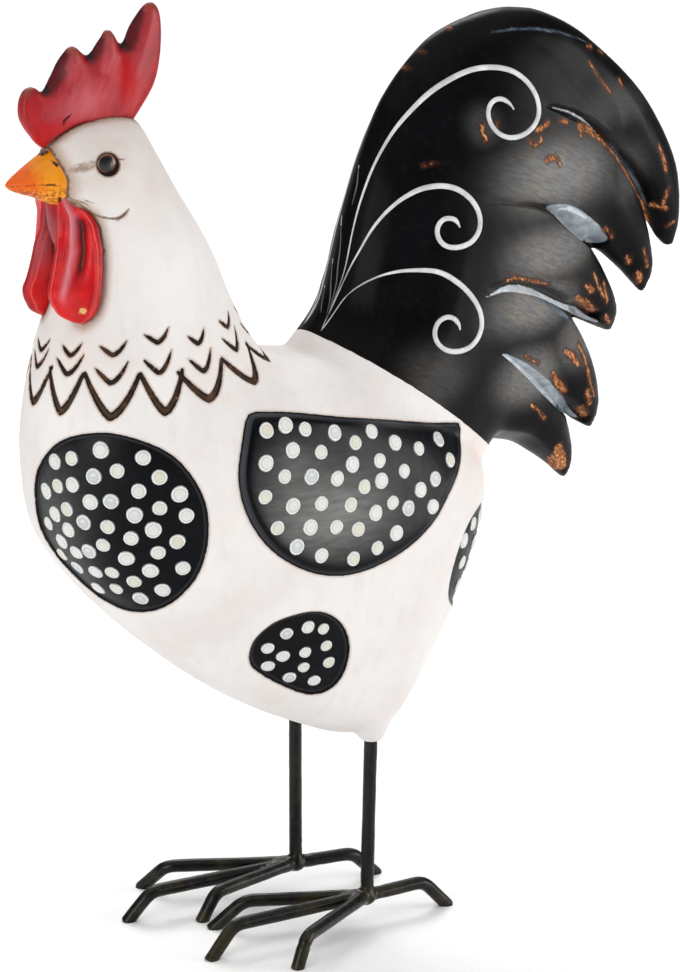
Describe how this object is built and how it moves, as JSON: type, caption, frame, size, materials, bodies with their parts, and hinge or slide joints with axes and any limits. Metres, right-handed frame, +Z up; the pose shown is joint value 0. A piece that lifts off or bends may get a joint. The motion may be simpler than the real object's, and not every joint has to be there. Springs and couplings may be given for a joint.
{
  "type": "rooster garden figurine",
  "caption": "Standing rooster figurine: one hollow painted resin bird with raised fan tail on two bent steel rod legs, for a shelf, table or porch.",
  "frame": {"origin": "on the ground under the middle of the figure's bounding box", "axes": "+Z up; the rooster looks along -Y; its left side is +X"},
  "size_m": [0.1394, 0.3618, 0.4383],
  "materials": {
    "painted_resin": "hand painted satin",
    "dark_steel_left": "dark brown-black satin",
    "dark_steel_right": "dark brown-black satin"
  },
  "bodies": {
    "root": {"resin_rooster": "painted_resin", "left_leg": "dark_steel_left", "right_leg": "dark_steel_right"}
  },
  "joints": []
}
